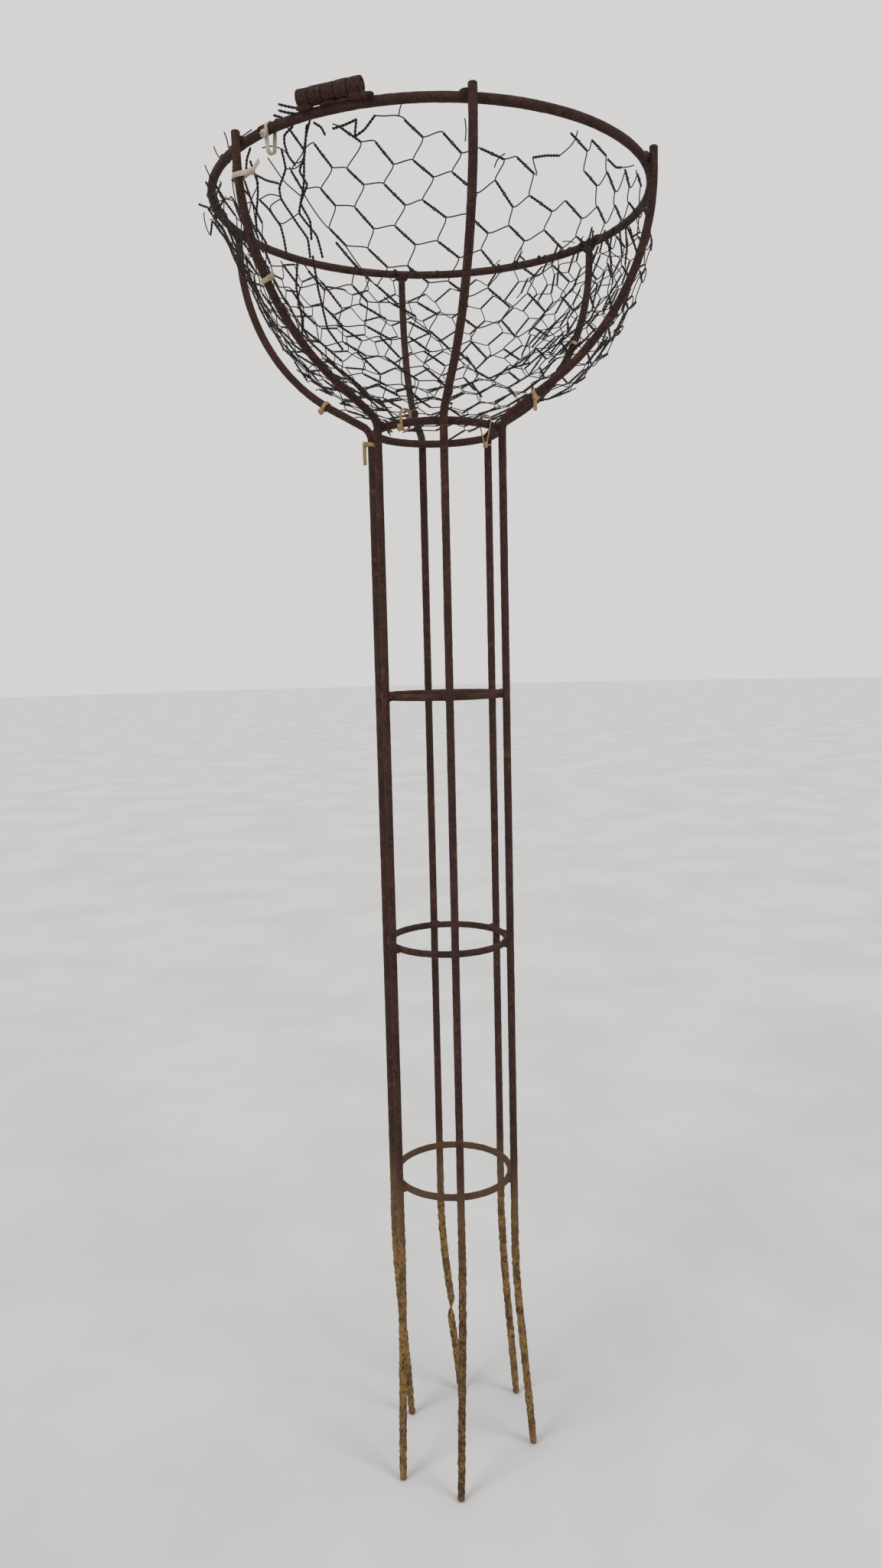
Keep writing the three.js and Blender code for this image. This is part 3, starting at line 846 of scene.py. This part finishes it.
class Sheet:
    """A sheet of hexagonal netting laid on the bowl like a cone's skin.

    Each site is a twisted pair of wires. From its lower end one wire runs to the next site across
    and the other to the next site down.
    """

    def __init__(self, name, turn, origin, across, along, slant, keep, loose, fold, seed):
        self.name = name
        self.turn = turn
        self.keep = keep
        self.loose = loose * MM
        self.fold = fold * MM
        self.rng = random.Random(seed)
        self.shift = Vector((seed * 7.3, seed * 3.1, seed * 1.7))
        lean = math.radians(slant)
        self.t = np.array((math.cos(lean), -math.sin(lean)))
        a = np.array((math.sin(lean), math.cos(lean)))
        self.right = (self.t * along + a * across / 2) * MM
        self.down = (self.t * along - a * across / 2) * MM
        self.origin = np.array(origin) * MM
        self.selvedge = None
        self.sag = None
        self.sites = {}

    def place(self, flat, lift):
        """A flat point of the sheet as azimuth and depth, and on the bowl."""
        rho = math.hypot(flat[0], flat[1] + NET_APEX)
        azimuth = math.degrees(math.atan2(flat[0], flat[1] + NET_APEX)) / NET_CONE + self.turn
        depth = NET_APEX - rho
        return azimuth, depth, on_bowl(azimuth, depth, lift + stands_out(azimuth, depth))

    def warped(self, flat):
        """A flat point moved by the sheet's slow stretch."""
        p = Vector((flat[0], flat[1], 0)) * 11 + self.shift
        drift = 3.0 * self.loose * np.array((noise.noise(p), noise.noise(p + Vector((9, 4, 7)))))
        if self.sag is not None:
            drift[1] += self.sag(self.place(flat, 0)[0])
        return flat + drift

    def end(self, flat):
        r = self.rng
        p = Vector((flat[0], flat[1], 0)) * 22 + self.shift * 2
        lift = self.fold * noise.noise(p) * 1.4 + r.gauss(0, self.fold * 0.22)
        jitter = np.array((r.gauss(0, self.loose), r.gauss(0, self.loose)))
        return self.place(flat + jitter, min(lift, 3.5 * MM))[2]

    def fill(self):
        for i in range(-SITE_SPAN, SITE_SPAN + 1):
            for j in range(-SITE_SPAN, SITE_SPAN + 1):
                flat = self.warped(self.origin + i * self.right + j * self.down)
                azimuth, depth, _ = self.place(flat, 0)
                if not self.keep(azimuth, depth, i, j):
                    continue
                lean = turned((*self.t, 0), (0, 0, 1), self.rng.gauss(0, 0.1))[:2]
                half = lean * TWIST_LENGTH * self.rng.uniform(0.42, 0.54)
                self.sites[i, j] = (self.end(flat - half), self.end(flat + half))

    def strand(self, site, which):
        """One wire of a site's twisted pair. The twist turns back half way, round a small eye."""
        upper, lower = self.sites[site]
        axis = lower - upper
        direction = unit(axis)
        side = unit(np.cross(direction, (0.31, 0.22, 0.93)))
        over = np.cross(direction, side)
        shares = np.linspace(0, 1, 6 * TWIST_TURNS + 1)
        turns = np.where(shares < 0.5, shares, 1 - shares) * TWIST_TURNS * 2 * math.pi
        angles = turns + which * math.pi
        eye = 1 + 0.9 * np.exp(-(((shares - 0.5) / 0.045) ** 2))
        swirl = side[None, :] * np.cos(angles)[:, None] + over[None, :] * np.sin(angles)[:, None]
        return upper + axis * shares[:, None] + swirl * (TWIST_R * eye)[:, None]

    def cut_end(self, start, heading, length):
        """A torn wire: it leaves a twist and curls away."""
        r = self.rng
        curl = np.array([r.uniform(-1, 1) for _ in range(3)]) * 0.9
        steps = np.linspace(0, 1, 7)[1:]
        return np.array([start + length * (heading * t + curl * t * t * 0.45) for t in steps])

    def build(self, solid):
        self.fill()
        r = self.rng
        for (i, j), (upper, lower) in self.sites.items():
            heading = unit(lower - upper)
            for which, follower in ((0, (i + 1, j)), (1, (i, j + 1))):
                wire = self.strand((i, j), which)
                radii = np.full(len(wire), TWIST_WIRE_R)
                if which == 1 and self.selvedge is not None and j - i == self.selvedge:
                    follower = (i + 1, j + 1)
                if follower in self.sites:
                    wire = np.concatenate((wire, self.bridge(wire, self.strand(follower, which))))
                elif r.random() < 0.4:
                    tail = self.cut_end(wire[-1], heading, r.uniform(3, 10) * MM)
                    wire = np.concatenate((wire, tail))
                radii = np.concatenate((radii, np.full(len(wire) - len(radii), WIRE_R)))
                before = (i - 1, j) if which == 0 else (i, j - 1)
                if before not in self.sites and r.random() < 0.35:
                    tail = self.cut_end(wire[0], -heading, r.uniform(3, 9) * MM)
                    wire = np.concatenate((tail[::-1], wire))
                    radii = np.concatenate((np.full(len(tail), WIRE_R), radii))
                solid.tube(wire, radii)

    def bridge(self, wire, onward):
        """The single wire between two twists, leaving and arriving along them."""
        start, end = wire[-1], onward[0]
        gap = np.linalg.norm(end - start)
        leave = unit(wire[-1] - wire[-4]) * gap * 0.55
        arrive = unit(onward[3] - onward[0]) * gap * 0.55
        points = []
        for t in np.linspace(0, 1, 9)[1:]:
            a = 2 * t**3 - 3 * t**2 + 1
            b = t**3 - 2 * t**2 + t
            c = 3 * t**2 - 2 * t**3
            d = t**3 - t**2
            points.append(start * a + leave * b + end * c + arrive * d)
        return np.array(points)


def front_sheet():
    def keep(azimuth, depth, i, j):
        a = signed(azimuth)
        if j - i > 4 or not -50 < a < 104 or (i, j) == (5, -2):
            return False
        top = 33 * MM if 8 < a < 32 else 9 * MM
        return top < depth < NET_DEPTH

    def sag(azimuth):
        return min(-8 + 11 * ((signed(azimuth) - 17) / 35) ** 2, 11) * MM

    sheet = Sheet("netting_front", 0, (-31.2, -76.3), 34.3, 31.3, 46.4, keep, 0.9, 5, 1)
    sheet.selvedge = 4
    sheet.sag = sag
    return sheet


def past_selvedge(azimuth, depth):
    """How far a place lies beyond the front sheet's straight edge, in metres."""
    a = math.radians(signed(azimuth) * NET_CONE)
    x = (NET_APEX - depth) * math.sin(a)
    y = (NET_APEX - depth) * math.cos(a) - NET_APEX
    return -((x - EDGE_POINT[0]) * EDGE_ACROSS[0] + (y - EDGE_POINT[1]) * EDGE_ACROSS[1])


def left_sheet():
    def keep(azimuth, depth, i, j):
        a = signed(azimuth)
        inside = -114 < a < -47 or (-60 < a <= 30 and past_selvedge(azimuth, depth) > -10 * MM)
        folded = -47 < a < -24 and depth < 118 * MM
        return inside and not folded and 3 * MM < depth < NET_DEPTH

    return Sheet("netting_left", -60, (0, -50), 35, 37, 78, keep, 1.4, 5, 7)


def left_fold():
    def keep(azimuth, depth, i, j):
        return -72 < signed(azimuth) < -50 and 4 * MM < depth < 95 * MM

    return Sheet("netting_left_fold", -60, (14, -30), 29, 33, 66, keep, 2.2, 9, 13)


def back_sheet():
    def keep(azimuth, depth, i, j):
        top = -13 * MM if 118 < azimuth % 360 < 158 else 4 * MM
        return 98 < azimuth % 360 < 250 and top < depth < BACK_NET_DEPTH

    return Sheet("netting_back", 180, (4, -60), 33, 32, 36, keep, 1.3, 6, 5)


def right_fold():
    def keep(azimuth, depth, i, j):
        return 104 < azimuth % 360 < 150 and 6 * MM < depth < 160 * MM

    return Sheet("netting_right_fold", 125, (10, -40), 30, 32, 66, keep, 2.6, 10, 8)


# Torn wires along the front sheet's top: azimuth in degrees and depth in millimetres along each, and
# whether it is a twist
TORN = [
    ([(-28, 3), (-26, 9), (-25, 17)], True),
    ([(-23, 13), (-20, 12), (-17, 9)], True),
    ([(-17, 9), (-17.5, 24), (-15, 19), (-12.5, 8)], True),
    ([(-12.5, 8), (-10, 10), (-7, 9), (-5.5, 14)], False),
    ([(-7, 10), (-6.8, 4), (-6, -2)], False),
    ([(8, 34), (8.4, 24), (8, 14)], False),
    ([(17.5, 42), (15.5, 46), (15, 55)], False),
    ([(26, 55), (25, 48), (24.6, 42)], False),
    ([(24.6, 42), (28, 38), (32, 35)], True),
    ([(32, 35), (34.5, 27), (36.8, 17), (37.6, 7)], False),
    ([(49, 21), (53, 24), (56, 20)], True),
    ([(56, 20), (60, 14), (65, 5)], False),
]
# Wires crumpled together where the sheet is folded beside the front left rod, listed the same way
FOLDED = [
    ([(-29, 0), (-30, 9), (-31, 24), (-32, 54), (-35, 78), (-33, 90), (-31, 102), (-31, 122)], True),
    ([(-34, 0), (-37, 5), (-37, 13), (-36, 25), (-34, 36)], True),
    ([(-38, 17), (-37, 36), (-40, 50), (-40, 60), (-36, 88), (-34, 102), (-35, 119)], True),
    ([(-50, 0), (-52, 8), (-53, 24)], True),
    ([(-48, 30), (-48, 42), (-49, 53), (-51, 65), (-52, 78)], True),
    ([(-48, 29), (-44, 39), (-40, 46)], True),
    ([(-40, 60), (-45, 62), (-42, 83), (-35, 78)], False),
    ([(-42, 83), (-42, 94), (-43, 113)], True),
    ([(-48, 52), (-45, 64), (-42, 83)], True),
    ([(-48, 52), (-44, 51), (-40, 58)], False),
    ([(-43, 19), (-38, 47), (-33, 66)], False),
    ([(-30, 3), (-31, 30), (-33, 42), (-31, 56), (-34, 70), (-32, 88), (-33, 104)], True),
    ([(-37, 36), (-34, 40), (-31, 33)], False),
    ([(-45, 7), (-41, 10), (-37, 19), (-34, 36), (-31, 33)], False),
    ([(-40, 120), (-44, 141), (-48, 170), (-56, 192), (-59, 222)], True),
    ([(-34, 118), (-36, 148), (-40, 190), (-39, 216)], True),
]


def add_twist(solid, spine, pitch=7 * MM):
    across, over = frames(spine)
    angles = lengths_along(spine) / pitch * 2 * math.pi
    for which in (0, math.pi):
        swirl = across * np.cos(angles + which)[:, None] + over * np.sin(angles + which)[:, None]
        solid.tube(spine + swirl * TWIST_R, TWIST_WIRE_R)


def eased(points, step):
    """A smooth line through a few points, in even steps."""
    along = lengths_along(points)
    places = np.linspace(0, along[-1], max(int(along[-1] / step), 6))
    line = resampled(points, places)
    for _ in range(4):
        line[1:-1] = (line[:-2] + line[1:-1] * 2 + line[2:]) / 4
    return line


def add_torn(material):
    solid = Solid()
    for path, twisted in TORN + FOLDED:
        points = np.array([on_bowl(a, d * MM, 0) for a, d in path])
        if twisted:
            add_twist(solid, eased(points, 1.2 * MM))
        else:
            solid.tube(eased(points, 3 * MM), WIRE_R)
    solid.piece("netting_torn_edge", material, "stand", "netting_wire", "wire_netting")


# Loose ends near the rim: azimuth, radius, height over the rim, heading along the rim, outwards and
# up, length, and whether it is a twist. Sizes are in millimetres.
STRAYS = [
    (-95, 252, 2, (0.2, 0.7, 0.5), 12, True), (-88, 256, -2, (-0.3, 0.8, 0.3), 12, True),
    (-90, 262, -4, (0.1, 0.1, -1.0), 24, False), (-92, 258, -26, (0.1, -0.3, 1.0), 14, True),
    (-62, 250, 6, (-0.8, 0.2, 0.7), 12, False), (-56, 250, 6, (0.3, 0.1, 1.0), 13, False),
    (-52, 249, 6, (0.9, 0.0, 0.1), 17, False), (-35, 249, 5, (-0.8, 0.3, 0.3), 9, True),
    (-30.5, 253, 2, (-0.83, 0.5, 0.05), 16, True), (-29.5, 252, 6, (-0.83, 0.45, 0.1), 20, True),
    (131, 244, 7, (0.6, -0.5, 0.5), 16, False), (124, 246, 5, (-0.4, -0.2, 1.0), 9, True),
    (136, 246, 5, (0.7, 0.0, 0.8), 10, True), (150, 246, 5, (0.7, -0.1, 0.8), 9, True),
    (160, 246, 4, (-0.5, -0.1, 0.9), 10, False), (187, 246, 4, (0.6, -0.2, 1.0), 9, True),
]
# Where wires hook the netting to the rim: azimuth, how far they spread to each side, and how many
WRAPS = ((-78, 24, 9), (-36, 6, 4), (128, 7, 9), (148, 14, 7), (186, 8, 3))


def add_stray(solid, rng, azimuth, radius, height, heading, length, twisted):
    """A loose end near the rim. heading is along the rim, outwards and up."""
    out = outward(azimuth)
    along = along_hoop(azimuth)
    ahead = unit(along * heading[0] + out * heading[1] + np.array((0, 0, heading[2])))
    curl = np.array([rng.uniform(-1, 1) for _ in range(3)])
    curl = (curl - (curl @ ahead) * ahead) * (0.12 if twisted else 0.5)
    start = polar(radius * MM, azimuth, RIM_Z + height * MM)
    steps = np.linspace(0, 1, 16)
    spine = start + length * MM * (ahead * steps[:, None] + curl * (steps**2)[:, None])
    if twisted:
        add_twist(solid, spine)
    else:
        solid.tube(spine, WIRE_R)


def add_strays(material):
    """Loose ends that stand over the rim, and the wires that hook the netting to it."""
    rng = random.Random(21)
    solid = Solid()
    for azimuth, radius, height, heading, length, twisted in STRAYS:
        add_stray(solid, rng, azimuth, radius, height, heading, length, twisted)
    for centre, spread, count in WRAPS:
        for _ in range(count):
            azimuth = centre + rng.uniform(-spread, spread)
            wrap_wire(solid, rng, azimuth, rng.uniform(-6, 6) * MM, rng.uniform(0.35, 0.8))
    solid.piece("netting_strays", material, "stand", "netting_wire", "wire_netting")


def wrap_wire(solid, rng, azimuth, drift, share):
    """A wire bent over the rim bar that holds the netting's edge to it."""
    twisted = rng.random() < 0.4
    out = outward(azimuth)
    along = along_hoop(azimuth)
    steps = np.linspace(0, 1, 16)
    angles = math.radians(rng.uniform(170, 260)) - steps * share * 2 * math.pi
    radius = RIM_BAR_R + WIRE_R * (2.2 if twisted else 1.1)
    swing = out * np.cos(angles)[:, None] + UP * np.sin(angles)[:, None]
    spine = polar(RIM_R, azimuth, RIM_Z) + swing * radius + along * drift * steps[:, None]
    if twisted:
        add_twist(solid, spine)
    else:
        solid.tube(spine, WIRE_R)


def add_netting(material):
    for sheet in (front_sheet(), left_sheet(), left_fold(), back_sheet(), right_fold()):
        solid = Solid()
        sheet.build(solid)
        solid.piece(sheet.name, material, "stand", "netting_wire", "wire_netting")
    add_torn(material)
    add_strays(material)


# ---------------------------------------------------------------- studio

def add_floor():
    bpy.ops.mesh.primitive_circle_add(vertices=96, radius=30, fill_type="NGON")
    floor = bpy.context.object
    floor.name = "studio_floor"
    floor.data.materials.append(plain_floor())


def add_sun(name, towards, strength, spread):
    light = bpy.data.lights.new(name, "SUN")
    light.energy = strength
    light.angle = math.radians(spread)
    made = bpy.data.objects.new(name, light)
    made.rotation_euler = Vector(towards).to_track_quat("-Z", "Y").to_euler()
    bpy.context.scene.collection.objects.link(made)


def add_studio():
    add_floor()
    add_sun("light_left", (0.75, 0.7, -0.9), 0.95, 24)
    add_sun("light_right", (-0.8, 0.6, -0.85), 0.75, 24)
    world = bpy.data.worlds.new("studio_air")
    world.use_nodes = True
    world.node_tree.nodes["Background"].inputs["Color"].default_value = colour(1.0, 0.99, 0.975)
    world.node_tree.nodes["Background"].inputs["Strength"].default_value = 0.66
    bpy.context.scene.world = world
    bpy.context.scene.view_settings.view_transform = "Standard"


def add_camera():
    ahead = Vector((math.sin(CAMERA_YAW) * math.cos(CAMERA_PITCH),
                    math.cos(CAMERA_YAW) * math.cos(CAMERA_PITCH), math.sin(CAMERA_PITCH)))
    right = ahead.cross(Vector((0, 0, 1))).normalized()
    up = right.cross(ahead)
    up_rolled = up * math.cos(CAMERA_ROLL) + right * math.sin(CAMERA_ROLL)
    right_rolled = ahead.cross(up_rolled)
    turn = Matrix((right_rolled, up_rolled, -ahead)).transposed()
    camera = bpy.data.objects.new("camera", bpy.data.cameras.new("camera"))
    camera.matrix_world = Matrix.Translation(CAMERA_PLACE) @ turn.to_4x4()
    camera.data.sensor_width = 36
    camera.data.lens = CAMERA_LENS
    bpy.context.scene.collection.objects.link(camera)
    bpy.context.scene.camera = camera


def build():
    add_camera()
    add_studio()
    steel = rusted_steel("rusted_steel")
    for name in RODS:
        add_rod(name, steel)
    for name in HOOPS:
        add_hoop(name, steel)
    add_welds(steel)
    add_barrel(rusted_steel("barrel_rust", clay=False))
    add_ties(aged_nylon())
    add_netting(weathered_wire())


build()
